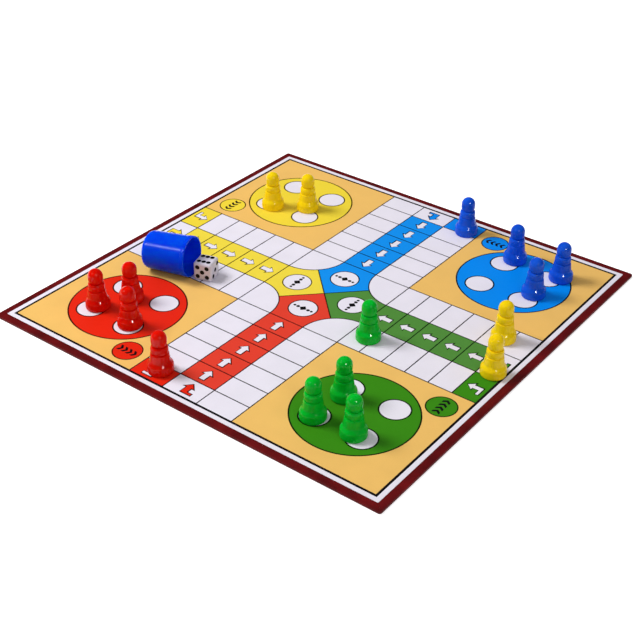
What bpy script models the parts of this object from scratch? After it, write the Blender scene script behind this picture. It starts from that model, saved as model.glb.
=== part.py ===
# Ludo game: a flat wrapped board with sixteen pawns, a dice cup and a die standing on it.
# Sizes are in metres. The board lies on z = 0 with its centre at the origin.
# The red yard is at -X -Y, the green one at +X -Y, the blue one at +X +Y, the yellow one at -X +Y.

import math

import bmesh
import bpy
from mathutils import Matrix, Vector

# Board: a greyboard core, a leatherette paper wrapped round it, and the printed sheet glued on top
BOARD_SIDE = 0.340
BOARD_CORNER_RADIUS = 0.0020
CORE_THICKNESS = 0.0018
WRAP_THICKNESS = 0.0002
FOLD_RADIUS = 0.0005
TURN_IN_WIDTH = 0.0150
MITRE_SLIT_WIDTH = 0.0003
MITRE_STOP = 0.0020
SHEET_THICKNESS = 0.0002
SHEET_BORDER = 0.0050
SHEET_CORNER_RADIUS = 0.0008
GLUE_GAP = 0.00005

# The printed line round the playing field stands this far inside the sheet's edge
FIELD_MARGIN = 0.0050

# Loose pieces stand on the print with this gap
SEAT_GAP = 0.0001

# Pawn: a turned shape, hollow from below
PAWN_HEIGHT = 0.0320
PAWN_HEAD_RADIUS = 0.0055
PAWN_CHIN_INSET = 0.0008
PAWN_COLLAR_RADIUS = 0.0061
PAWN_COLLAR_ROUND = 0.0010
PAWN_GROOVE_DEPTH = 0.0005
PAWN_GROOVE_WIDTH = 0.0004
PAWN_WAIST_RADIUS = 0.0064
PAWN_SHOULDER_RADIUS = 0.0071
PAWN_RIM_RADIUS = 0.0091
PAWN_BASE_RADIUS = 0.0093
PAWN_BASE_ROUND_HEIGHT = 0.0020
PAWN_FOOT_INSET = 0.0008
PAWN_WALL = 0.0015
PAWN_SIDES = 14

# Heights on the pawn, as shares of the height from its foot to the middle of its head
CHEEK_SHARE = 0.890
NECK_SHARE = 0.796
COLLAR_TOP_SHARE = 0.785
COLLAR_MIDDLE_SHARE = 0.694
COLLAR_FOOT_SHARE = 0.596
WAIST_SHARE = 0.562
SHOULDER_SHARE = 0.377
RIM_SHARE = 0.211
HOLLOW_SHARE = 0.480

# The hollow's top is this share of its mouth across
HOLLOW_TOP_SHARE = 0.450

# Dice cup, lying on its side with its mouth towards the middle of the board
CUP_LENGTH = 0.0365
CUP_MOUTH_RADIUS = 0.0156
CUP_BASE_RADIUS = 0.0146
CUP_WALL = 0.0012
CUP_FLOOR = 0.0014
CUP_BASE_ROUND = 0.0026
CUP_FOOT_WIDTH = 0.0016
CUP_FOOT_RECESS = 0.0007
CUP_STEP_HEIGHT = 0.0002
CUP_RIM_ROUND = 0.0003
CUP_BANDS = 3
CUP_BAND_PITCH = 0.0013
CUP_BAND_WIDTH = 0.0007
CUP_BAND_HEIGHT = 0.00025
CUP_SIDES = 32
CUP_YAW = math.radians(15.5)

# Die, with spherical hollows for its pips
DIE_SIDE = 0.0150
DIE_EDGE_RADIUS = 0.0015
DIE_YAW = math.radians(17.6)
PIP_RADIUS = 0.0013
PIP_DEPTH = 0.0006
PIP_PITCH = 0.0038
PIP_SIDES = 10
DIE_TO_CUP_GAP = 0.0031
DIE_OFF_AXIS = 0.0017

# Places on the field, as shares of half the field's side
CUP_MOUTH_PLACE_SHARES = (-0.593, -0.255)
PAWN_PLACE_SHARES = {
    "red": [(-0.743, -0.731), (-0.666, -0.594), (-0.523, -0.748), (-0.176, -0.916)],
    "blue": [(0.219, 0.902), (0.552, 0.813), (0.809, 0.799), (0.776, 0.593)],
    "green": [(0.378, -0.177), (0.528, -0.773), (0.544, -0.586), (0.723, -0.763)],
    "yellow": [(-0.722, 0.508), (-0.565, 0.602), (0.850, 0.188), (0.947, -0.063)],
}

# Colours as they look, from 0 to 255, and how rough each surface is
GREYBOARD_COLOUR = (150, 142, 132)
WRAP_COLOUR = (104, 30, 32)
SHEET_COLOUR = (236, 232, 238)
CUP_COLOUR = (12, 52, 214)
DIE_COLOUR = (232, 226, 222)
PAWN_COLOURS = {
    "red": (196, 24, 18),
    "blue": (18, 62, 176),
    "green": (14, 150, 52),
    "yellow": (238, 188, 14),
}
BOARD_ROUGHNESS = 0.85
WRAP_ROUGHNESS = 0.55
SHEET_ROUGHNESS = 0.40
PLASTIC_ROUGHNESS = 0.22

# How many straight pieces stand for each round stretch
CORNER_STEPS = 4
FOLD_STEPS = 2
HEAD_STEPS = 4
CHIN_STEPS = 2
COLLAR_STEPS = 2
ROUND_STEPS = 3
FLARE_STEPS = 4
DIE_STEPS = 3

# Cutters reach this far past what they cut
CUT_OVERRUN = 0.0010
MERGE_DISTANCE = 0.0000005
SMOOTH_ANGLE = math.radians(32)

# Heights that follow from the board's layers
POCKET_FLOOR = WRAP_THICKNESS
POCKET_CEILING = POCKET_FLOOR + CORE_THICKNESS + 2 * GLUE_GAP
WRAP_TOP = POCKET_CEILING + WRAP_THICKNESS
SHEET_BOTTOM = WRAP_TOP + GLUE_GAP
PLAY_FACE = SHEET_BOTTOM + SHEET_THICKNESS
SEAT_HEIGHT = PLAY_FACE + SEAT_GAP

# Widths that follow from the board's side
CORE_SIDE = BOARD_SIDE - 2 * (WRAP_THICKNESS + GLUE_GAP)
SHEET_SIDE = BOARD_SIDE - 2 * SHEET_BORDER
FIELD_HALF = SHEET_SIDE / 2 - FIELD_MARGIN


def clear_objects():
    for old in list(bpy.data.objects):
        bpy.data.objects.remove(old, do_unlink=True)


def linear(value):
    share = value / 255
    if share <= 0.04045:
        return share / 12.92
    return ((share + 0.055) / 1.055) ** 2.4


def plain_material(name, colour, roughness):
    material = bpy.data.materials.new(name)
    material.use_nodes = True
    shader = material.node_tree.nodes["Principled BSDF"]
    rgba = tuple(linear(value) for value in colour) + (1,)
    shader.inputs["Base Color"].default_value = rgba
    shader.inputs["Roughness"].default_value = roughness
    shader.inputs["Metallic"].default_value = 0
    material.diffuse_color = rgba
    return material


def mesh_from(bm, name, material, smooth):
    bmesh.ops.recalc_face_normals(bm, faces=bm.faces)
    mesh = bpy.data.meshes.new(name)
    bm.to_mesh(mesh)
    bm.free()
    mesh.materials.append(material)
    if smooth:
        mesh.shade_smooth()
        mesh.set_sharp_from_angle(angle=SMOOTH_ANGLE)
    return mesh


def add_object(name, mesh):
    piece = bpy.data.objects.new(name, mesh)
    bpy.context.scene.collection.objects.link(piece)
    return piece


def cut(piece, cutter):
    modifier = piece.modifiers.new("cut_" + cutter.name, "BOOLEAN")
    modifier.operation = "DIFFERENCE"
    modifier.solver = "EXACT"
    modifier.object = cutter
    cutter.hide_render = True
    cutter.display_type = "WIRE"


def square_block(side, low, high, corner_radius):
    """A flat square block between two heights, with round upright corners."""
    bm = bmesh.new()
    bmesh.ops.create_cube(bm, size=1)
    bmesh.ops.scale(bm, vec=(side, side, high - low), verts=bm.verts)
    bmesh.ops.translate(bm, vec=(0, 0, (low + high) / 2), verts=bm.verts)
    if corner_radius:
        upright = [e for e in bm.edges if abs(e.verts[0].co.z - e.verts[1].co.z) > (high - low) / 2]
        bmesh.ops.bevel(
            bm, geom=upright, offset=corner_radius, segments=CORNER_STEPS,
            profile=0.5, affect="EDGES", clamp_overlap=True,
        )
    return bm


def revolve(profile, sides):
    """Turns a list of (radius, height) points, from axis to axis, into a closed body round Z."""
    bm = bmesh.new()
    verts = [bm.verts.new((radius, 0, height)) for radius, height in profile]
    edges = [bm.edges.new(pair) for pair in zip(verts[:-1], verts[1:])]
    bmesh.ops.spin(
        bm, geom=verts + edges, cent=(0, 0, 0), axis=(0, 0, 1),
        angle=2 * math.pi, steps=sides, use_merge=True,
    )
    bmesh.ops.remove_doubles(bm, verts=bm.verts, dist=MERGE_DISTANCE)
    return bm


def arc(centre, radius, start, end, steps):
    """Points on an arc in the profile's plane, with both ends. A radius may differ across and up."""
    across, up = radius
    points = []
    for i in range(steps + 1):
        angle = start + (end - start) * i / steps
        points.append((centre[0] + across * math.cos(angle), centre[1] + up * math.sin(angle)))
    return points


# Board


def make_core():
    radius = BOARD_CORNER_RADIUS - WRAP_THICKNESS
    bm = square_block(CORE_SIDE, POCKET_FLOOR + GLUE_GAP, POCKET_CEILING - GLUE_GAP, radius)
    grey = plain_material("greyboard", GREYBOARD_COLOUR, BOARD_ROUGHNESS)
    return add_object("board_core", mesh_from(bm, "board_core", grey, False))


def make_wrap():
    """The paper covers the back and the sides and is turned in over the front, mitred at the corners."""
    maroon = plain_material("leatherette_paper", WRAP_COLOUR, WRAP_ROUGHNESS)
    bm = square_block(BOARD_SIDE, 0, WRAP_TOP, BOARD_CORNER_RADIUS)
    rims = [e for e in bm.edges if e.verts[0].co.z == e.verts[1].co.z]
    bmesh.ops.bevel(
        bm, geom=rims, offset=FOLD_RADIUS, segments=FOLD_STEPS,
        profile=0.5, affect="EDGES", clamp_overlap=True,
    )
    wrap = add_object("cover_wrap", mesh_from(bm, "cover_wrap", maroon, True))

    pocket_side = BOARD_SIDE - 2 * WRAP_THICKNESS
    pocket_radius = BOARD_CORNER_RADIUS - WRAP_THICKNESS
    pocket = square_block(pocket_side, POCKET_FLOOR, POCKET_CEILING, pocket_radius)
    cut(wrap, add_object("core_pocket", mesh_from(pocket, "core_pocket", maroon, False)))

    window_side = BOARD_SIDE - 2 * TURN_IN_WIDTH
    middle = (POCKET_FLOOR + POCKET_CEILING) / 2
    window = square_block(window_side, middle, WRAP_TOP + CUT_OVERRUN, 0)
    cut(wrap, add_object("turn_in_window", mesh_from(window, "turn_in_window", maroon, False)))

    inner = (window_side / 2 - CUT_OVERRUN) * math.sqrt(2)
    outer = (BOARD_SIDE / 2 - MITRE_STOP) * math.sqrt(2)
    slits = bmesh.new()
    for quarter in range(4):
        turn = Matrix.Rotation(math.radians(45) + quarter * math.pi / 2, 4, "Z")
        place = Matrix.Translation(((inner + outer) / 2, 0, (middle + WRAP_TOP + CUT_OVERRUN) / 2))
        size = Matrix.Diagonal((outer - inner, MITRE_SLIT_WIDTH, WRAP_TOP + CUT_OVERRUN - middle, 1))
        bmesh.ops.create_cube(slits, size=1, matrix=turn @ place @ size)
    cut(wrap, add_object("mitre_slits", mesh_from(slits, "mitre_slits", maroon, False)))
    return wrap


def make_sheet():
    bm = square_block(SHEET_SIDE, SHEET_BOTTOM, PLAY_FACE, SHEET_CORNER_RADIUS)
    paper = plain_material("printed_paper", SHEET_COLOUR, SHEET_ROUGHNESS)
    return add_object("face_sheet", mesh_from(bm, "face_sheet", paper, False))


# Pawns


def pawn_profile():
    """Outline of half a pawn, from the top of its head down to its foot and up inside its hollow."""
    head_centre = PAWN_HEIGHT - PAWN_HEAD_RADIUS
    cheek = head_centre * CHEEK_SHARE
    chin_centre = (PAWN_HEAD_RADIUS - PAWN_CHIN_INSET, cheek)
    chin_round = (PAWN_CHIN_INSET, cheek - head_centre * NECK_SHARE)
    points = arc((0, head_centre), (PAWN_HEAD_RADIUS, PAWN_HEAD_RADIUS), math.pi / 2, 0, HEAD_STEPS)
    points += arc(chin_centre, chin_round, 0, -math.pi / 2, CHIN_STEPS)

    collar_middle = head_centre * COLLAR_MIDDLE_SHARE
    collar_foot = head_centre * COLLAR_FOOT_SHARE
    collar_centre = (PAWN_COLLAR_RADIUS - PAWN_COLLAR_ROUND, collar_middle)
    collar_round = (PAWN_COLLAR_ROUND, head_centre * COLLAR_TOP_SHARE - collar_middle)
    points += arc(collar_centre, collar_round, math.pi / 2, 0, COLLAR_STEPS)
    points.append((PAWN_COLLAR_RADIUS, collar_foot + PAWN_GROOVE_WIDTH))
    points.append((PAWN_COLLAR_RADIUS - PAWN_GROOVE_DEPTH, collar_foot))
    points.append((PAWN_COLLAR_RADIUS - PAWN_GROOVE_DEPTH, collar_foot - PAWN_GROOVE_WIDTH))
    points.append((PAWN_WAIST_RADIUS, head_centre * WAIST_SHARE))

    shoulder, rim = head_centre * SHOULDER_SHARE, head_centre * RIM_SHARE
    for i in range(FLARE_STEPS + 1):
        share = i / FLARE_STEPS
        swell = (1 - math.cos(share * math.pi)) / 2
        height = shoulder + (rim - shoulder) * share
        points.append((PAWN_SHOULDER_RADIUS + (PAWN_RIM_RADIUS - PAWN_SHOULDER_RADIUS) * swell, height))

    foot_radius = PAWN_BASE_RADIUS - PAWN_FOOT_INSET
    foot_round = (PAWN_FOOT_INSET, PAWN_BASE_ROUND_HEIGHT)
    points += arc((foot_radius, PAWN_BASE_ROUND_HEIGHT), foot_round, 0, -math.pi / 2, ROUND_STEPS)

    mouth = foot_radius - PAWN_WALL
    ceiling = head_centre * HOLLOW_SHARE
    points.append((mouth, 0))
    points.append((mouth * HOLLOW_TOP_SHARE, ceiling - PAWN_WALL))
    points.append((0, ceiling))
    return points


def make_pawns():
    pawns = []
    for colour, places in PAWN_PLACE_SHARES.items():
        plastic = plain_material(colour + "_plastic", PAWN_COLOURS[colour], PLASTIC_ROUGHNESS)
        mesh = mesh_from(revolve(pawn_profile(), PAWN_SIDES), colour + "_pawn", plastic, True)
        for number, (x_share, y_share) in enumerate(places, 1):
            pawn = add_object(f"{colour}_pawn_{number}", mesh)
            pawn.location = (x_share * FIELD_HALF, y_share * FIELD_HALF, SEAT_HEIGHT)
            pawns.append(pawn)
    return pawns


# Dice cup


def cup_wall_radius(height):
    """Outside radius of the cup's tapered wall at a height above its base."""
    return CUP_BASE_RADIUS + (CUP_MOUTH_RADIUS - CUP_BASE_RADIUS) * height / CUP_LENGTH


def cup_profile():
    """Outline of half the cup, from the middle of its base round the rim to the middle of its floor."""
    foot_outside = CUP_BASE_RADIUS - CUP_BASE_ROUND
    foot_inside = foot_outside - CUP_FOOT_WIDTH
    points = [(0, CUP_FOOT_RECESS), (foot_inside - CUP_FOOT_RECESS, CUP_FOOT_RECESS), (foot_inside, 0)]
    centre = (foot_outside, CUP_BASE_ROUND)
    round_radius = (CUP_BASE_ROUND - CUP_STEP_HEIGHT, CUP_BASE_ROUND)
    points += arc(centre, round_radius, -math.pi / 2, 0, ROUND_STEPS)
    step = CUP_BASE_ROUND + CUP_STEP_HEIGHT
    points.append((cup_wall_radius(step), step))

    for band in reversed(range(CUP_BANDS)):
        middle = CUP_LENGTH - CUP_BAND_WIDTH / 2 - CUP_RIM_ROUND - band * CUP_BAND_PITCH
        half = CUP_BAND_WIDTH / 2
        wall = cup_wall_radius(middle)
        points.append((wall, middle - half))
        points.append((wall + CUP_BAND_HEIGHT, middle - half / 2))
        points.append((wall + CUP_BAND_HEIGHT, middle + half / 2))
        points.append((wall, middle + half))

    outside = CUP_MOUTH_RADIUS - CUP_RIM_ROUND
    inside = CUP_MOUTH_RADIUS - CUP_WALL
    points.append((outside, CUP_LENGTH))
    points.append((inside + CUP_RIM_ROUND, CUP_LENGTH))
    points.append((inside, CUP_LENGTH - CUP_RIM_ROUND))

    floor = CUP_FOOT_RECESS + CUP_FLOOR
    floor_radius = CUP_BASE_RADIUS - CUP_WALL
    inner_centre = (floor_radius - CUP_BASE_ROUND, floor + CUP_BASE_ROUND)
    points += arc(inner_centre, (CUP_BASE_ROUND, CUP_BASE_ROUND), 0, -math.pi / 2, ROUND_STEPS)
    points.append((0, floor))
    return points


def cup_pose():
    """Where the cup's base is, and its axis, so that its widest band and its base both rest on the print."""
    band = CUP_LENGTH - CUP_BAND_WIDTH / 2 - CUP_RIM_ROUND
    band_radius = cup_wall_radius(band) + CUP_BAND_HEIGHT
    low = CUP_BASE_ROUND + CUP_STEP_HEIGHT
    low_radius = cup_wall_radius(low)
    tilt = math.atan2(band_radius - low_radius, band - low)
    yaw = Matrix.Rotation(CUP_YAW, 3, "Z")
    axis = yaw @ Vector((math.cos(tilt), 0, math.sin(tilt)))
    mouth = Vector(CUP_MOUTH_PLACE_SHARES) * FIELD_HALF
    base = mouth.to_3d() - axis * CUP_LENGTH
    base.z = SEAT_HEIGHT + low_radius * math.cos(tilt) - low * math.sin(tilt)
    return base, axis, tilt


def make_cup():
    base, axis, tilt = cup_pose()
    blue = plain_material("cup_plastic", CUP_COLOUR, PLASTIC_ROUGHNESS)
    cup = add_object("dice_cup", mesh_from(revolve(cup_profile(), CUP_SIDES), "dice_cup", blue, True))
    cup.rotation_euler = (0, math.pi / 2 - tilt, CUP_YAW)
    cup.location = base
    return cup


# Die


def pip_places(count):
    """Places of the pips on a face, in pip pitches across and up."""
    corners = [(-1, -1), (1, 1), (-1, 1), (1, -1)]
    sides = [(0, -1), (0, 1)]
    places = corners[:count - count % 2] + sides[:max(0, count - count % 2 - 4)]
    if count % 2:
        places.append((0, 0))
    return places


def pip_balls():
    """Balls that cut the pips. Opposite faces add up to seven."""
    ball = (PIP_RADIUS ** 2 + PIP_DEPTH ** 2) / (2 * PIP_DEPTH)
    lift = DIE_SIDE / 2 + ball - PIP_DEPTH
    half_turn = math.pi / 2
    faces = {
        6: Matrix.Identity(4),
        1: Matrix.Rotation(math.pi, 4, "X"),
        5: Matrix.Rotation(half_turn, 4, "X"),
        2: Matrix.Rotation(-half_turn, 4, "X"),
        3: Matrix.Rotation(half_turn, 4, "Z") @ Matrix.Rotation(half_turn, 4, "X"),
        4: Matrix.Rotation(-half_turn, 4, "Z") @ Matrix.Rotation(half_turn, 4, "X"),
    }
    bm = bmesh.new()
    for count, turn in faces.items():
        for across, up in pip_places(count):
            place = Matrix.Translation((across * PIP_PITCH, up * PIP_PITCH, lift))
            bmesh.ops.create_uvsphere(
                bm, u_segments=PIP_SIDES, v_segments=PIP_SIDES, radius=ball, matrix=turn @ place,
            )
    return bm


def make_die():
    bone = plain_material("die_plastic", DIE_COLOUR, PLASTIC_ROUGHNESS)
    bm = bmesh.new()
    bmesh.ops.create_cube(bm, size=DIE_SIDE)
    bmesh.ops.bevel(
        bm, geom=bm.edges[:], offset=DIE_EDGE_RADIUS, segments=DIE_STEPS,
        profile=0.5, affect="EDGES", clamp_overlap=True,
    )
    die = add_object("die", mesh_from(bm, "die", bone, True))
    balls = add_object("pip_balls", mesh_from(pip_balls(), "pip_balls", bone, False))
    balls.parent = die
    cut(die, balls)

    base, axis, tilt = cup_pose()
    ahead = Vector((axis.x, axis.y)).normalized()
    beside = Vector((-ahead.y, ahead.x))
    mouth = Vector((base.x, base.y)) + Vector((axis.x, axis.y)) * CUP_LENGTH
    centre = mouth + ahead * (DIE_TO_CUP_GAP + DIE_SIDE / 2) + beside * DIE_OFF_AXIS
    die.location = (centre.x, centre.y, SEAT_HEIGHT + DIE_SIDE / 2)
    die.rotation_euler = (0, 0, DIE_YAW)
    return die


clear_objects()
make_core()
make_wrap()
make_sheet()
make_pawns()
make_cup()
make_die()
bpy.context.view_layer.update()
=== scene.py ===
# Ludo game: the printed board in its maroon wrap, the turned pawns, the dice cup and the die
import math

import bmesh
import bpy
from mathutils import Matrix, Vector


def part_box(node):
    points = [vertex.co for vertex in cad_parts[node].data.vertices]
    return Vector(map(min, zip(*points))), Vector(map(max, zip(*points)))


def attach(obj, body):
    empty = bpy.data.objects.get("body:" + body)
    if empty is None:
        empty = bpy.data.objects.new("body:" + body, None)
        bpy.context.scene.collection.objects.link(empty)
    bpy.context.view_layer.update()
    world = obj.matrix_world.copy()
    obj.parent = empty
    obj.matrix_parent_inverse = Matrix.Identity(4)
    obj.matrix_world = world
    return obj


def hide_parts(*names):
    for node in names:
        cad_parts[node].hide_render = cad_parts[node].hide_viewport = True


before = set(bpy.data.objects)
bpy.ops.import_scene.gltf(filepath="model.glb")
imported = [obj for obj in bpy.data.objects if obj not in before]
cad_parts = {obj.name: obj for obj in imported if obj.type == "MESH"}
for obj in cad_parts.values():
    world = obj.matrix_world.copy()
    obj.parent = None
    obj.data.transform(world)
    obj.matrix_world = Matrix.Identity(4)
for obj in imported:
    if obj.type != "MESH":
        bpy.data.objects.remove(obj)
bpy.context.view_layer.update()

print("Frame loaded with", len(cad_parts), "nodes")

mergeDistance = 0.0000005
quarterTurn = math.pi / 2


# Node helpers

def linear(value):
    share = value / 255
    if share <= 0.04045:
        return share / 12.92
    return ((share + 0.055) / 1.055) ** 2.4


def rgba(colour, lift=1.0):
    return tuple(min(1.0, linear(value) * lift) for value in colour) + (1.0,)


def addNode(tree, kind, values, **settings):
    made = tree.nodes.new("ShaderNode" + kind)
    for key, value in settings.items():
        setattr(made, key, value)
    for key, value in values.items():
        if isinstance(value, bpy.types.NodeSocket):
            tree.links.new(value, made.inputs[key])
        else:
            made.inputs[key].default_value = value
    return made


def startMaterial(name):
    material = bpy.data.materials.new(name)
    material.use_nodes = True
    tree = material.node_tree
    place = tree.nodes.new("ShaderNodeTexCoord").outputs["Object"]
    return material, tree, tree.nodes["Principled BSDF"], place


def noise(tree, place, scale, detail=3.0):
    made = addNode(tree, "TexNoise", {"Vector": place, "Scale": scale, "Detail": detail})
    return made.outputs["Fac"]


def spread(tree, value, low, high, start=0.3, end=0.7):
    made = addNode(tree, "MapRange", {
        "Value": value, "From Min": start, "From Max": end, "To Min": low, "To Max": high,
    })
    return made.outputs["Result"]


def blendColour(tree, factor, first, second):
    made = addNode(tree, "Mix", {0: factor, 6: first, 7: second}, data_type="RGBA")
    return made.outputs[2]


def addUp(tree, first, second, operation="ADD"):
    return addNode(tree, "Math", {0: first, 1: second}, operation=operation).outputs["Value"]


def addBump(tree, shader, height, strength, distance):
    made = addNode(tree, "Bump", {"Height": height, "Strength": strength, "Distance": distance})
    tree.links.new(made.outputs["Normal"], shader.inputs["Normal"])


def setShader(tree, shader, values):
    for key, value in values.items():
        if isinstance(value, bpy.types.NodeSocket):
            tree.links.new(value, shader.inputs[key])
        else:
            shader.inputs[key].default_value = value


# Mesh helpers

def makePiece(name, bm, materials, body, nodes, smoothAngle=None):
    bmesh.ops.recalc_face_normals(bm, faces=bm.faces[:])
    mesh = bpy.data.meshes.new(name)
    bm.to_mesh(mesh)
    bm.free()
    for material in materials:
        mesh.materials.append(material)
    if smoothAngle:
        mesh.shade_smooth()
        mesh.set_sharp_from_angle(angle=smoothAngle)
    piece = bpy.data.objects.new(name, mesh)
    bpy.context.scene.collection.objects.link(piece)
    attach(piece, body)
    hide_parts(*nodes)
    return piece


def arcPoints(centre, radius, start, end, steps):
    across, up = radius if isinstance(radius, tuple) else (radius, radius)
    points = []
    for i in range(steps + 1):
        angle = start + (end - start) * i / steps
        points.append((centre[0] + across * math.cos(angle), centre[1] + up * math.sin(angle)))
    return points


def turnProfile(profile, sides):
    # profile runs from axis to axis as (radius, height)
    bm = bmesh.new()
    verts = [bm.verts.new((radius, 0, height)) for radius, height in profile]
    edges = [bm.edges.new(pair) for pair in zip(verts[:-1], verts[1:])]
    bmesh.ops.spin(
        bm, geom=verts + edges, cent=(0, 0, 0), axis=(0, 0, 1),
        angle=2 * math.pi, steps=sides, use_merge=True,
    )
    bmesh.ops.remove_doubles(bm, verts=bm.verts[:], dist=mergeDistance)
    return bm


def roundedBlock(side, low, high, cornerRadius, steps):
    bm = bmesh.new()
    bmesh.ops.create_cube(bm, size=1)
    bmesh.ops.scale(bm, vec=(side, side, high - low), verts=bm.verts[:])
    bmesh.ops.translate(bm, vec=(0, 0, (low + high) / 2), verts=bm.verts[:])
    if cornerRadius:
        upright = [e for e in bm.edges if abs(e.verts[0].co.z - e.verts[1].co.z) > (high - low) / 2]
        bmesh.ops.bevel(
            bm, geom=upright, offset=cornerRadius, segments=steps,
            profile=0.5, affect="EDGES", material=-1,
        )
    return bm


def looseObject(name, bm, materials=()):
    bmesh.ops.recalc_face_normals(bm, faces=bm.faces[:])
    mesh = bpy.data.meshes.new(name)
    bm.to_mesh(mesh)
    bm.free()
    for material in materials:
        mesh.materials.append(material)
    made = bpy.data.objects.new(name, mesh)
    bpy.context.scene.collection.objects.link(made)
    return made


def cutAway(piece, cutters):
    # takes each cutter out of the piece, with the cutter's material on the cut faces
    for cutter in cutters:
        modifier = piece.modifiers.new("cut", "BOOLEAN")
        modifier.operation = "DIFFERENCE"
        modifier.solver = "EXACT"
        modifier.material_mode = "TRANSFER"
        modifier.object = cutter
    bpy.context.view_layer.update()
    graph = bpy.context.evaluated_depsgraph_get()
    mesh = bpy.data.meshes.new_from_object(piece.evaluated_get(graph))
    result = bmesh.new()
    result.from_mesh(mesh)
    materials = list(mesh.materials)
    for old in [piece, *cutters]:
        bpy.data.objects.remove(old)
    bmesh.ops.remove_doubles(result, verts=result.verts[:], dist=mergeDistance)
    return result, materials


# Inks and paper

inks = {
    "white": (239, 234, 246),
    "tan": (246, 196, 108),
    "line": (34, 28, 34),
    "frame": (16, 14, 18),
    "mark": (20, 18, 22),
}
quarterInks = {
    # big disc and starting square, lane and home, lines round them
    "red": ((234, 40, 18), (232, 66, 48), (66, 14, 10)),
    "green": ((60, 142, 22), (84, 144, 62), (14, 34, 10)),
    "blue": ((2, 142, 248), (14, 148, 246), (8, 26, 54)),
    "yellow": ((246, 220, 62), (246, 222, 70), (78, 62, 14)),
}


def makeInk(name, colour):
    # offset ink on white paper under a thin varnish
    material, tree, shader, place = startMaterial(name)
    patches = spread(tree, noise(tree, place, 45, 2), 0.0, 1.0)
    fibres = spread(tree, noise(tree, place, 2600, 4), 0.0, 1.0)
    cloudy = blendColour(tree, patches, rgba(colour, 0.96), rgba(colour, 1.03))
    speckle = blendColour(tree, fibres, rgba(colour, 0.93), rgba(colour, 1.05))
    setShader(tree, shader, {
        "Base Color": blendColour(tree, 0.35, cloudy, speckle),
        "Roughness": spread(tree, noise(tree, place, 320, 3), 0.46, 0.58),
        "Specular IOR Level": 0.06,
    })
    addBump(tree, shader, fibres, 0.25, 0.00001)
    return material


def makePaperEdge():
    material, tree, shader, place = startMaterial("cutPaperEdge")
    fibres = spread(tree, noise(tree, place, 3000, 5), 0.0, 1.0)
    setShader(tree, shader, {
        "Base Color": blendColour(tree, fibres, rgba((218, 210, 204)), rgba((240, 236, 232))),
        "Roughness": spread(tree, fibres, 0.75, 0.9),
    })
    addBump(tree, shader, fibres, 0.5, 0.00003)
    return material


inkNames = [*inks, "edge", "yard", "lane", "dark"]
inkMaterials = [makeInk(name + "Ink", colour) for name, colour in inks.items()] + [makePaperEdge()]
for name, colours in quarterInks.items():
    for area, colour in zip(("Yard", "Lane", "Dark"), colours):
        inkMaterials.append(makeInk(name + area + "Ink", colour))


# Printed sheet: one flat face, cut into the areas of the print

sheet = {
    "side": 0.3284, "cornerRadius": 0.0008, "cornerSteps": 6,
    "fieldHalf": 0.160,           # to the middle of the black line round the field
    "frameLine": 0.0014, "gridLine": 0.0009, "ringLine": 0.0011,
    "column": 0.0304, "rows": 6,
    "yardCentre": -0.1028, "yardRadius": 0.0438, "spotOffset": 0.01875, "spotRadius": 0.0114,
    "startPlace": (-0.0626, -0.1438), "startRadius": 0.0111,
    "homePlace": (0.0, -0.0258), "homeRadius": 0.0114,
    "discSteps": 48, "yardSteps": 120, "wedgeSteps": 24,
}
laneArrow = {
    "length": 0.0126, "headWidth": 0.0110, "headLength": 0.0060, "shaft": 0.0056,
    "border": 0.0007, "shadow": (-0.00030, 0.00015),
}
turnArrow = {
    "length": 0.0124, "headWidth": 0.0112, "headLength": 0.0058, "shaft": 0.0056,
    "foot": 0.0032, "footReach": 0.0042, "border": 0.0008, "shadow": (-0.00020, 0.00010),
}
startArrow = {
    "length": 0.0130, "headWidth": 0.0104, "headLength": 0.0060, "shaft": 0.0048,
    "foot": 0.0034, "footReach": -0.0048, "border": 0.0007, "shadow": (-0.00030, 0.00015),
}
# marks: four chevrons on a starting disc, a diamond between pairs of dots on a home disc
marks = {
    "chevrons": 4, "chevronPitch": 0.0042, "chevronHeight": 0.0058, "chevronWidth": 0.0042, "chevronStroke": 0.0022,
    "dots": ((0.0046, 0.0014), (0.0076, 0.0011)), "diamondRadius": 0.0030,
}
sheetLow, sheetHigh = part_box("face_sheet")


def circlePoints(centre, radius, steps):
    scratch = bmesh.new()
    bmesh.ops.create_circle(scratch, segments=steps, radius=radius)
    points = [(v.co.x + centre[0], v.co.y + centre[1]) for v in scratch.verts]
    scratch.free()
    return points


def squarePoints(left, bottom, right, top):
    return [(left, bottom), (right, bottom), (right, top), (left, top)]


def shrunk(points, width, shift=(0.0, 0.0)):
    # the same outline, this much further in on every side
    scratch = bmesh.new()
    face = scratch.faces.new([scratch.verts.new((x, y, 0)) for x, y in points])
    face.normal_update()
    bmesh.ops.inset_region(
        scratch, faces=[face], thickness=width, use_boundary=True, use_even_offset=True,
    )
    inner = [(v.co.x + shift[0], v.co.y + shift[1]) for v in face.verts]
    scratch.free()
    return inner


def fillArea(bm, ink, outline, holes=()):
    edges = []
    for points in [outline, *holes]:
        verts = [bm.verts.new((x, y, sheetHigh.z)) for x, y in points]
        edges += [bm.edges.new((verts[i - 1], verts[i])) for i in range(len(verts))]
    filled = bmesh.ops.triangle_fill(bm, edges=edges, use_beauty=True, normal=(0, 0, 1))
    for item in filled["geom"]:
        if isinstance(item, bmesh.types.BMFace):
            item.material_index = inkNames.index(ink)


def printField(bm, outline, ink, lineInk="line", inside=()):
    # an area of the field with its half of the thin line round it
    inner = shrunk(outline, sheet["gridLine"] / 2)
    fillArea(bm, lineInk, outline, [inner])
    fillArea(bm, ink, inner, inside)


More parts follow.
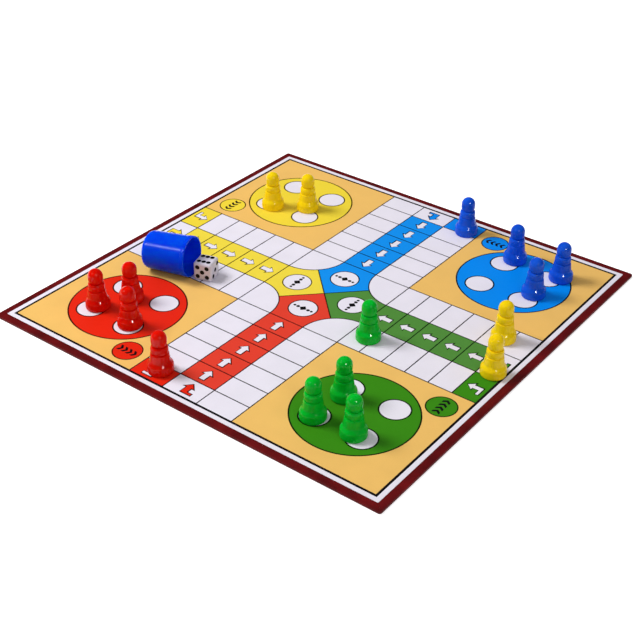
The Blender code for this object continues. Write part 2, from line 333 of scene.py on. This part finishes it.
def printArrow(bm, arrow, place, fill):
    # returns its outline, which is a hole in the area around it
    half, head = arrow["headWidth"] / 2, arrow["length"] / 2
    neck, tail, shaft = head - arrow["headLength"], -arrow["length"] / 2, arrow["shaft"] / 2
    left, right = [(-shaft, tail)], [(shaft, tail)]
    reach = arrow.get("footReach", 0)
    if reach:
        foot = [(reach + math.copysign(shaft, reach), tail + rise) for rise in (0, arrow["foot"])]
        if reach > 0:
            right = [*foot, (shaft, tail + arrow["foot"])]
        else:
            left = [(-shaft, tail + arrow["foot"]), *reversed(foot)]
    points = [(0, head), (-half, neck), (-shaft, neck), *left, *right, (shaft, neck), (half, neck)]
    points = [(x + place[0], y + place[1]) for x, y in points]
    inner = shrunk(points, arrow["border"], arrow["shadow"])
    fillArea(bm, "dark", points, [inner])
    fillArea(bm, fill, inner)
    return points


def printDisc(bm, centre, radius, line, fill, holes=(), steps=None):
    steps = steps or sheet["discSteps"]
    outline = circlePoints(centre, radius, steps)
    inner = circlePoints(centre, radius - line, steps)
    fillArea(bm, "dark", outline, [inner])
    fillArea(bm, fill, inner, holes)
    return outline


def printMarks(bm, outlines):
    for points in outlines:
        fillArea(bm, "mark", points)
    return outlines


def chevronPoints(centre):
    width, height, stroke = marks["chevronWidth"], marks["chevronHeight"] / 2, marks["chevronStroke"]
    outlines = []
    for i in range(marks["chevrons"]):
        step = i - (marks["chevrons"] - 1) / 2
        left, y = centre[0] + step * marks["chevronPitch"] - width / 2, centre[1]
        tip = left + width
        outlines.append([
            (left, y - height), (left + stroke, y - height), (tip, y),
            (left + stroke, y + height), (left, y + height), (tip - stroke, y),
        ])
    return outlines


def diamondPoints(centre):
    outlines = [circlePoints(centre, marks["diamondRadius"], 4)]
    for reach, radius in marks["dots"]:
        for side in (-1, 1):
            place = (centre[0] + side * reach, centre[1])
            outlines.append(circlePoints(place, radius, sheet["discSteps"] // 2))
    return outlines


def printYard(bm, rowEnds):
    # tan corner of the field with its big disc, four spots and the starting disc
    middle = sheet["yardCentre"]
    spots = []
    for across in (-1, 1):
        for up in (-1, 1):
            place = (middle + across * sheet["spotOffset"], middle + up * sheet["spotOffset"])
            spots.append(printDisc(bm, place, sheet["spotRadius"], sheet["ringLine"], "white"))
    disc = printDisc(
        bm, (middle, middle), sheet["yardRadius"], sheet["ringLine"], "yard", spots, sheet["yardSteps"],
    )
    chevrons = printMarks(bm, chevronPoints(sheet["startPlace"]))
    start = printDisc(bm, sheet["startPlace"], sheet["startRadius"], sheet["gridLine"], "yard", chevrons)
    outer, inner = rowEnds[0], rowEnds[-1]
    outline = [(outer, outer)] + [(inner, y) for y in rowEnds] + [(x, inner) for x in reversed(rowEnds[:-1])]
    printField(bm, outline, "tan", inside=[disc, start])


def printArm(bm, rowEnds):
    # three columns of squares, and the middle one is the lane
    column = sheet["column"]
    for row, (low, high) in enumerate(zip(rowEnds[:-1], rowEnds[1:])):
        for step in (-1, 0, 1):
            centre = (step * column, (low + high) / 2)
            outline = squarePoints(centre[0] - column / 2, low, centre[0] + column / 2, high)
            if step == 0 and row == 0:
                printField(bm, outline, "white", inside=[printArrow(bm, turnArrow, centre, "yard")])
            elif step == 0:
                printField(bm, outline, "lane", "dark", [printArrow(bm, laneArrow, centre, "white")])
            elif step == -1 and row == 0:
                printField(bm, outline, "yard", inside=[printArrow(bm, startArrow, centre, "white")])
            else:
                printField(bm, outline, "white")


def printHome(bm):
    # the coloured part of the middle square, and the white quarter disc beside it
    column, steps = sheet["column"], sheet["wedgeSteps"]
    end = 1.5 * column
    right = arcPoints((end, -end), column, math.pi, 0.75 * math.pi, steps // 2)
    left = arcPoints((-end, -end), column, 0.25 * math.pi, 0, steps // 2)
    diamond = printMarks(bm, diamondPoints(sheet["homePlace"]))
    disc = printDisc(bm, sheet["homePlace"], sheet["homeRadius"], sheet["gridLine"], "white", diamond)
    printField(bm, right + [(0, 0)] + left, "lane", "dark", [disc])
    wedge = [(-end, -end)] + arcPoints((-end, -end), column, 0, quarterTurn, steps)
    printField(bm, wedge, "white")


def makePrintedSheet():
    # the quarter at -X -Y is drawn in red, then copied round in the other colours
    bm = bmesh.new()
    edge = sheet["fieldHalf"] - sheet["frameLine"] / 2
    armEnd = 1.5 * sheet["column"]
    pitch = (sheet["fieldHalf"] - armEnd) / sheet["rows"]
    rowEnds = [-edge] + [row * pitch - sheet["fieldHalf"] for row in range(1, sheet["rows"] + 1)]
    printYard(bm, rowEnds)
    printArm(bm, rowEnds)
    printHome(bm)
    quarter = bm.faces[:]
    for turn in (1, 2, 3):
        copied = bmesh.ops.duplicate(bm, geom=quarter)["geom"]
        verts = [v for v in copied if isinstance(v, bmesh.types.BMVert)]
        around = Matrix.Rotation(turn * quarterTurn, 3, "Z")
        bmesh.ops.rotate(bm, cent=(0, 0, 0), matrix=around, verts=verts)
        for item in copied:
            if isinstance(item, bmesh.types.BMFace) and item.material_index >= inkNames.index("yard"):
                item.material_index += turn * 3

    # black line round the field, and the white margin
    half = sheet["column"] / 2
    side = [Vector((x, -edge)) for x in (-edge, -armEnd, -half, half, armEnd)]
    inside = [tuple(Matrix.Rotation(turn * quarterTurn, 2) @ v) for turn in range(4) for v in side]
    reach = edge + sheet["frameLine"]
    outside = squarePoints(-reach, -reach, reach, reach)
    scratch = bmesh.new()
    bmesh.ops.create_grid(scratch, x_segments=1, y_segments=1, size=sheet["side"] / 2)
    bmesh.ops.bevel(
        scratch, geom=scratch.verts[:], offset=sheet["cornerRadius"], segments=sheet["cornerSteps"],
        profile=0.5, affect="VERTICES", material=-1,
    )
    outline = [(v.co.x, v.co.y) for v in max(scratch.faces, key=lambda f: f.calc_area()).verts]
    scratch.free()
    fillArea(bm, "frame", outside, [inside])
    fillArea(bm, "white", outline, [outside])
    bmesh.ops.remove_doubles(bm, verts=bm.verts[:], dist=mergeDistance)
    area = sum(f.calc_area() for f in bm.faces)
    print(f"Print: {len(bm.faces)} faces, {area * 1e6:.0f} square mm of ink and paper")

    # the paper's thickness and its back
    rim = [e for e in bm.edges if e.is_boundary]
    sides = bmesh.ops.extrude_edge_only(bm, edges=rim)["geom"]
    lower = [v for v in sides if isinstance(v, bmesh.types.BMVert)]
    bmesh.ops.translate(bm, vec=(0, 0, sheetLow.z - sheetHigh.z), verts=lower)
    around = [e for e in bm.edges if e.is_boundary]
    back = bmesh.ops.edgeloop_fill(bm, edges=around)["faces"]
    for face in back + [f for f in sides if isinstance(f, bmesh.types.BMFace)]:
        face.material_index = inkNames.index("edge")
    makePiece("printedSheet", bm, inkMaterials, "board", ["face_sheet"])


makePrintedSheet()


# Board: the leather-grained paper round the back and the edges, turned in over the front

wrap = {
    "side": 0.340, "top": 0.0023, "paper": 0.0002, "cornerRadius": 0.0020, "cornerSteps": 8,
    "foldRadius": 0.0005, "foldSteps": 4, "turnIn": 0.0150, "slit": 0.0001, "slitStop": 0.0020,
    "dark": (90, 7, 12), "light": (130, 16, 20), "grain": 1500, "pores": 5200,
}


def makeLeatherette():
    material, tree, shader, place = startMaterial("maroonLeatherette")
    wobble = noise(tree, place, 900, 3)
    cells = addNode(tree, "TexVoronoi", {"Vector": place, "Scale": wrap["grain"], "Randomness": 0.9})
    pebbles = addUp(tree, cells.outputs["Distance"], spread(tree, wobble, 0.0, 0.5))
    pores = noise(tree, place, wrap["pores"], 4)
    height = addUp(tree, pebbles, spread(tree, pores, 0.0, 0.25))
    tone = blendColour(tree, spread(tree, noise(tree, place, 60, 3), 0, 1), rgba(wrap["dark"]), rgba(wrap["light"]))
    # the base colour is darker where the pebbles of the grain meet
    setShader(tree, shader, {
        "Base Color": blendColour(tree, spread(tree, pebbles, 0.0, 0.35, 0.1, 0.9), tone, rgba(wrap["dark"], 0.6)),
        "Roughness": spread(tree, height, 0.45, 0.62, 0.2, 1.0),
        "Specular IOR Level": 0.14,
    })
    addBump(tree, shader, height, 0.5, 0.00008)
    return material


def makeWrap():
    bm = roundedBlock(wrap["side"], 0, wrap["top"], wrap["cornerRadius"], wrap["cornerSteps"])
    rims = [e for e in bm.edges if abs(e.verts[0].co.z - e.verts[1].co.z) < mergeDistance]
    bmesh.ops.bevel(
        bm, geom=rims, offset=wrap["foldRadius"], segments=wrap["foldSteps"],
        profile=0.5, affect="EDGES", material=-1,
    )
    paper = looseObject("coverBlock", bm, [leatherette])
    pocket = roundedBlock(
        wrap["side"] - 2 * wrap["paper"], wrap["paper"], wrap["top"] - wrap["paper"],
        wrap["cornerRadius"] - wrap["paper"], wrap["cornerSteps"],
    )
    window = roundedBlock(wrap["side"] - 2 * wrap["turnIn"], wrap["top"] / 2, wrap["top"] * 1.5, 0, 0)

    inner = (wrap["side"] / 2 - wrap["turnIn"] - wrap["slitStop"]) * math.sqrt(2)
    outer = (wrap["side"] / 2 - wrap["slitStop"]) * math.sqrt(2)
    slits = bmesh.new()
    for quarter in range(4):
        turn = Matrix.Rotation((quarter + 0.5) * quarterTurn, 4, "Z")
        place = Matrix.Translation(((inner + outer) / 2, 0, wrap["top"]))
        size = Matrix.Diagonal((outer - inner, wrap["slit"], wrap["top"], 1))
        bmesh.ops.create_cube(slits, size=1, matrix=turn @ place @ size)
    cutters = [("corePocket", pocket), ("turnInWindow", window), ("mitreSlits", slits)]
    result, materials = cutAway(paper, [looseObject(name, cutter, [leatherette]) for name, cutter in cutters])
    makePiece("coverPaper", result, [leatherette], "board", ["cover_wrap"], math.radians(40))


leatherette = makeLeatherette()
makeWrap()


def makeGreyboard():
    material, tree, shader, place = startMaterial("greyboard")
    fibres = noise(tree, place, 1400, 5)
    flecks = spread(tree, noise(tree, place, 420, 4), 0.0, 1.0, 0.55, 0.7)
    pulp = blendColour(tree, spread(tree, fibres, 0, 1), rgba((132, 124, 114)), rgba((164, 157, 146)))
    setShader(tree, shader, {
        "Base Color": blendColour(tree, flecks, pulp, rgba((104, 98, 92))),
        "Roughness": spread(tree, fibres, 0.82, 0.95),
    })
    addBump(tree, shader, fibres, 0.6, 0.00006)
    return material


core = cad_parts["board_core"]
core.data.materials.clear()
core.data.materials.append(makeGreyboard())
print("Board done")


# Moulded plastic

def makePlastic(name, colour, deep, clear=0.0, through=(1.0, 1.0, 1.0), roughness=0.08, gloss=0.16):
    # glossy polystyrene with a faint flow pattern and handling marks, and a little light passing through
    material, tree, shader, place = startMaterial(name)
    flow = spread(tree, noise(tree, place, 140, 3), 0.0, 1.0)
    skin = noise(tree, place, 300, 2)
    scuffs = spread(tree, noise(tree, place, 1900, 5), 0.0, 1.0, 0.58, 0.75)
    setShader(tree, shader, {
        "Base Color": blendColour(tree, flow, rgba(deep), rgba(colour)),
        "Roughness": addUp(tree, spread(tree, skin, roughness, roughness + 0.06), addUp(tree, scuffs, 0.08, "MULTIPLY")),
        "IOR": 1.5,
        "Specular IOR Level": gloss,
        "Subsurface Weight": clear,
        "Subsurface Radius": through,
        "Subsurface Scale": 0.004,
    })
    addBump(tree, shader, skin, 0.06, 0.00012)
    return material


# Pawns: turned shape with a ball head, a collar over a groove and a flared foot, hollow from below

pawn = {
    "height": 0.0320, "headRadius": 0.0055, "chinInset": 0.0013, "collarRadius": 0.0061,
    "collarRound": 0.0010, "grooveDepth": 0.0005, "grooveWidth": 0.0004, "waistRadius": 0.0064,
    "shoulderRadius": 0.0071, "rimRadius": 0.0091, "baseRadius": 0.0093, "baseRound": 0.0020,
    "footInset": 0.0008, "wall": 0.0015,
    "cheek": 0.930, "neck": 0.796, "collarTop": 0.785, "collarMiddle": 0.694, "collarFoot": 0.596,
    "waist": 0.562, "shoulder": 0.377, "rim": 0.211, "hollow": 0.480, "hollowTop": 0.450,
    "sides": 64, "steps": 12,
}
pawnColours = {
    "red": {"colour": (228, 24, 5), "deep": (212, 14, 3), "through": (1.6, 0.12, 0.06), "clear": 0.9},
    "blue": {"colour": (26, 94, 232), "deep": (12, 74, 204), "through": (0.10, 0.30, 1.0), "clear": 0.0},
    "green": {"colour": (8, 194, 54), "deep": (4, 178, 42), "through": (0.15, 1.2, 0.25), "clear": 0.7},
    "yellow": {"colour": (255, 222, 20), "deep": (255, 214, 12), "through": (1.0, 0.75, 0.10), "clear": 0.0},
}


def pawnProfile():
    steps = pawn["steps"]
    headCentre = pawn["height"] - pawn["headRadius"]
    cheek = headCentre * pawn["cheek"]
    chinCentre = (pawn["headRadius"] - pawn["chinInset"], cheek)
    chinRound = (pawn["chinInset"], cheek - headCentre * pawn["neck"])
    points = arcPoints((0, headCentre), pawn["headRadius"], quarterTurn, 0, steps)
    points += arcPoints(chinCentre, chinRound, 0, -quarterTurn, steps)

    middle, foot = headCentre * pawn["collarMiddle"], headCentre * pawn["collarFoot"]
    collarCentre = (pawn["collarRadius"] - pawn["collarRound"], middle)
    collarRound = (pawn["collarRound"], headCentre * pawn["collarTop"] - middle)
    points += arcPoints(collarCentre, collarRound, quarterTurn, 0, steps)
    groove = pawn["collarRadius"] - pawn["grooveDepth"]
    points += arcPoints((groove, foot + pawn["grooveWidth"]), (pawn["grooveDepth"], pawn["grooveWidth"]), 0, -quarterTurn, steps // 3)
    points.append((groove, foot - pawn["grooveWidth"]))
    points.append((pawn["waistRadius"], headCentre * pawn["waist"]))

    shoulder, rim = headCentre * pawn["shoulder"], headCentre * pawn["rim"]
    for i in range(steps + 1):
        swell = (1 - math.cos(math.pi * i / steps)) / 2
        radius = pawn["shoulderRadius"] + (pawn["rimRadius"] - pawn["shoulderRadius"]) * swell
        points.append((radius, shoulder + (rim - shoulder) * i / steps))
    footRadius = pawn["baseRadius"] - pawn["footInset"]
    footRound = (pawn["footInset"], pawn["baseRound"])
    points += arcPoints((footRadius, pawn["baseRound"]), footRound, 0, -quarterTurn, steps)

    mouth, ceiling = footRadius - pawn["wall"], headCentre * pawn["hollow"]
    return points + [(mouth, 0), (mouth * pawn["hollowTop"], ceiling - pawn["wall"]), (0, ceiling)]


def makePawns():
    for colour, look in pawnColours.items():
        plastic = makePlastic(colour + "Plastic", look["colour"], look["deep"], look["clear"], look["through"])
        for number in range(1, 5):
            node = f"{colour}_pawn_{number}"
            low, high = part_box(node)
            bm = turnProfile(pawnProfile(), pawn["sides"])
            middle = (low + high) / 2
            bmesh.ops.translate(bm, vec=(middle.x, middle.y, low.z), verts=bm.verts[:])
            name = f"{colour}Pawn{number}"
            makePiece(name, bm, [plastic], node, [node], math.radians(35))
    print("Pawns done")


makePawns()


# Dice cup: thin tapered beaker on its side, with three fine bands under the rim and a foot ring

cup = {
    "length": 0.0365, "mouthRadius": 0.0156, "baseRadius": 0.0146, "wall": 0.0012, "floor": 0.0014,
    "baseRound": 0.0026, "footWidth": 0.0016, "footRecess": 0.0007, "step": 0.0002, "rimRound": 0.0003,
    "bands": 3, "bandPitch": 0.0013, "bandWidth": 0.0007, "bandHeight": 0.00025,
    "sides": 128, "steps": 10, "yaw": math.radians(15.5),
    "mouthPlace": (-0.593 * 0.160, -0.255 * 0.160), "seat": 0.00265,
    "colour": (1, 80, 255), "deep": (1, 66, 254), "through": (0.04, 0.18, 0.8), "clear": 0.9,
}


def cupWall(height):
    return cup["baseRadius"] + (cup["mouthRadius"] - cup["baseRadius"]) * height / cup["length"]


def cupProfile():
    steps = cup["steps"]
    outside = cup["baseRadius"] - cup["baseRound"]
    inside = outside - cup["footWidth"]
    points = [(0, cup["footRecess"]), (inside - cup["footRecess"], cup["footRecess"]), (inside, 0)]
    roundOff = (cup["baseRound"] - cup["step"], cup["baseRound"])
    points += arcPoints((outside, cup["baseRound"]), roundOff, -quarterTurn, 0, steps)
    step = cup["baseRound"] + cup["step"]
    points.append((cupWall(step), step))
    for band in reversed(range(cup["bands"])):
        middle = cup["length"] - cup["bandWidth"] / 2 - cup["rimRound"] - band * cup["bandPitch"]
        swell = arcPoints((middle, 0), (cup["bandWidth"] / 2, cup["bandHeight"]), math.pi, 0, 6)
        points += [(cupWall(middle) + rise, height) for height, rise in swell]
    mouth = cup["mouthRadius"] - cup["wall"]
    rim = cup["length"] - cup["rimRound"]
    points += arcPoints((cup["mouthRadius"] - cup["rimRound"], rim), cup["rimRound"], 0, quarterTurn, 4)[1:]
    points += arcPoints((mouth + cup["rimRound"], rim), cup["rimRound"], quarterTurn, math.pi, 4)
    floor = cup["footRecess"] + cup["floor"]
    corner = (cup["baseRadius"] - cup["wall"] - cup["baseRound"], floor + cup["baseRound"])
    points += arcPoints(corner, cup["baseRound"], 0, -quarterTurn, steps)
    return points + [(0, floor)]


def cupPose():
    # tilted so that the widest band and the base both touch the print
    band = cup["length"] - cup["bandWidth"] / 2 - cup["rimRound"]
    low = cup["baseRound"] + cup["step"]
    tilt = math.atan2(cupWall(band) + cup["bandHeight"] - cupWall(low), band - low)
    lie = Matrix.Rotation(cup["yaw"], 4, "Z") @ Matrix.Rotation(quarterTurn - tilt, 4, "Y")
    mouth = Vector((*cup["mouthPlace"], 0))
    base = mouth - lie.to_3x3() @ Vector((0, 0, cup["length"]))
    base.z = cup["seat"] + cupWall(low) * math.cos(tilt) - low * math.sin(tilt)
    return Matrix.Translation(base) @ lie


def makeCup():
    bm = turnProfile(cupProfile(), cup["sides"])
    bmesh.ops.transform(bm, matrix=cupPose(), verts=bm.verts[:])
    plastic = makePlastic("bluePlasticCup", cup["colour"], cup["deep"], cup["clear"], cup["through"], 0.18, 0.09)
    makePiece("diceCup", bm, [plastic], "dice_cup", ["dice_cup"], math.radians(35))
    print("Cup done")


makeCup()


# Die: rounded cube with hollow painted pips, opposite faces adding up to seven

die = {
    "side": 0.0150, "edgeRadius": 0.0020, "edgeSteps": 6, "yaw": math.radians(17.6),
    "pipRadius": 0.0018, "pipDepth": 0.0006, "pipPitch": 0.0038, "pipSides": 28,
    "colour": (226, 220, 232), "deep": (218, 211, 225), "paint": (4, 4, 5),
}


def pipPlaces(count):
    corners = [(-1, -1), (1, 1), (-1, 1), (1, -1)]
    sides = [(0, -1), (0, 1)]
    places = corners[:count - count % 2] + sides[:max(0, count - count % 2 - 4)]
    return places + [(0, 0)] * (count % 2)


def makeDie():
    bone = makePlastic("ivoryPlastic", die["colour"], die["deep"], roughness=0.18)
    paint = makePlastic("pipPaint", die["paint"], die["paint"], roughness=0.3)
    bm = bmesh.new()
    bmesh.ops.create_cube(bm, size=die["side"])
    bmesh.ops.bevel(
        bm, geom=bm.edges[:], offset=die["edgeRadius"], segments=die["edgeSteps"],
        profile=0.5, affect="EDGES", material=-1,
    )
    block = looseObject("dieBlock", bm, [bone])

    ball = (die["pipRadius"] ** 2 + die["pipDepth"] ** 2) / (2 * die["pipDepth"])
    lift = die["side"] / 2 + ball - die["pipDepth"]
    upright = Matrix.Rotation(quarterTurn, 4, "X")
    turns = {
        6: Matrix.Identity(4), 1: Matrix.Rotation(math.pi, 4, "X"),
        5: upright, 2: upright.inverted(),
        3: Matrix.Rotation(quarterTurn, 4, "Z") @ upright, 4: Matrix.Rotation(-quarterTurn, 4, "Z") @ upright,
    }
    balls = bmesh.new()
    for count, turn in turns.items():
        for across, up in pipPlaces(count):
            place = Matrix.Translation((across * die["pipPitch"], up * die["pipPitch"], lift))
            bmesh.ops.create_uvsphere(
                balls, u_segments=die["pipSides"], v_segments=die["pipSides"], radius=ball, matrix=turn @ place,
            )
    result, materials = cutAway(block, [looseObject("pipBalls", balls, [paint])])
    low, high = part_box("die")
    place = Matrix.Translation((low + high) / 2) @ Matrix.Rotation(die["yaw"], 4, "Z")
    bmesh.ops.transform(result, matrix=place, verts=result.verts[:])
    makePiece("spottedDie", result, materials, "die", ["die"], math.radians(35))
    print("Die done")


makeDie()


# Camera, floor and light

camera = {
    "place": (0.46055317, -0.61866164, 0.49280864),
    "turn": (56.29171438, -0.63406060, 37.28573972),
    "lens": 68.7458, "sensor": 36, "shift": (-0.0006, 0.0004),
}
light = {
    "ambient": 0.34, "overhead": 0.03, "horizon": 0.10, "hazeLow": 0.10, "hazeHigh": 0.45,
    "lamps": {
        # name: place, size across, watts, whether it lights surfaces, whether gloss shows it
        "keySoftbox": ((-0.90, -0.38, 1.25), 0.58, 18.0, True, False),
        "fillSoftbox": ((1.10, 0.20, 1.15), 0.70, 1.2, True, False),
        "frontSoftbox": ((0.898, -0.589, 0.727), 0.40, 1.4, True, False),
        "rightGlint": ((0.950, -0.520, 0.727), 0.18, 11.0, False, True),
        "streakGlint": ((-0.522, -0.720, 0.810), 0.15, 3.4, False, True),
    },
    "floorColour": (238, 238, 240), "floorGlow": 0.66, "farGlow": 0.74, "glowReach": (0.6, 3.0), "floorSize": 40,
}


def makeFloor():
    material, tree, shader, place = startMaterial("paleFloor")
    cloud = noise(tree, place, 3, 2)
    setShader(tree, shader, {
        "Base Color": blendColour(tree, cloud, rgba(light["floorColour"]), rgba(light["floorColour"], 0.985)),
        "Roughness": 0.9, "Specular IOR Level": 0.0,
        "Emission Color": (1, 1, 1, 1),
    })
    # far from the lamps the glow makes up for their light, so that the floor ends without a grey band
    away = addNode(tree, "VectorMath", {0: place}, operation="LENGTH").outputs["Value"]
    glow = spread(tree, away, light["floorGlow"], light["farGlow"], *light["glowReach"])
    tree.links.new(addUp(tree, seenByLens(tree), glow, "MULTIPLY"), shader.inputs["Emission Strength"])
    bm = bmesh.new()
    bmesh.ops.create_grid(bm, x_segments=1, y_segments=1, size=light["floorSize"] / 2)
    bmesh.ops.translate(bm, vec=(0, 0, -0.0001), verts=bm.verts[:])
    looseObject("floor", bm, [material])


def seenByLens(tree):
    # 1 for rays from the camera, from gloss and through clear material, so that they see a white room
    path = tree.nodes.new("ShaderNodeLightPath").outputs
    direct = addUp(tree, path["Is Camera Ray"], path["Is Glossy Ray"], "MAXIMUM")
    return addUp(tree, direct, path["Is Transmission Ray"], "MAXIMUM")


def makeWorld():
    world = bpy.data.worlds.new("studio")
    world.use_nodes = True
    bpy.context.scene.world = world
    tree = world.node_tree
    background = tree.nodes["Background"]
    background.inputs["Color"].default_value = (1, 1, 1, 1)

    # gloss sees a white sweep near the horizon and a dark studio overhead
    path = tree.nodes.new("ShaderNodeLightPath").outputs
    heading = addNode(tree, "SeparateXYZ", {0: tree.nodes.new("ShaderNodeTexCoord").outputs["Generated"]})
    sweep = spread(tree, heading.outputs["Z"], light["horizon"], light["overhead"], light["hazeLow"], light["hazeHigh"])
    glossy = addUp(tree, sweep, path["Is Glossy Ray"], "MULTIPLY")
    clear = addUp(tree, path["Is Camera Ray"], path["Is Transmission Ray"], "MAXIMUM")
    seen = addUp(tree, glossy, clear, "MAXIMUM")
    soft = addUp(tree, light["ambient"], path["Is Diffuse Ray"], "MULTIPLY")
    tree.links.new(addUp(tree, seen, soft, "MAXIMUM"), background.inputs["Strength"])


def makeLamps():
    for name, (place, size, power, lights, glints) in light["lamps"].items():
        data = bpy.data.lights.new(name, "AREA")
        data.shape = "SQUARE" if lights else "DISK"
        data.size = size
        data.energy = power
        lamp = bpy.data.objects.new(name, data)
        lamp.visible_diffuse, lamp.visible_glossy = lights, glints
        lamp.location = place
        lamp.rotation_euler = (-Vector(place)).to_track_quat("-Z", "Y").to_euler()
        bpy.context.scene.collection.objects.link(lamp)


def makeCamera():
    data = bpy.data.cameras.new("camera")
    data.sensor_width = camera["sensor"]
    data.lens = camera["lens"]
    data.shift_x, data.shift_y = camera["shift"]
    data.clip_start, data.clip_end = 0.01, 100
    made = bpy.data.objects.new("camera", data)
    made.location = camera["place"]
    made.rotation_euler = [math.radians(angle) for angle in camera["turn"]]
    bpy.context.scene.collection.objects.link(made)
    bpy.context.scene.camera = made


makeFloor()
makeWorld()
makeLamps()
makeCamera()
bpy.context.scene.view_settings.view_transform = "Standard"
print("Camera, floor and light done")

bpy.context.view_layer.update()
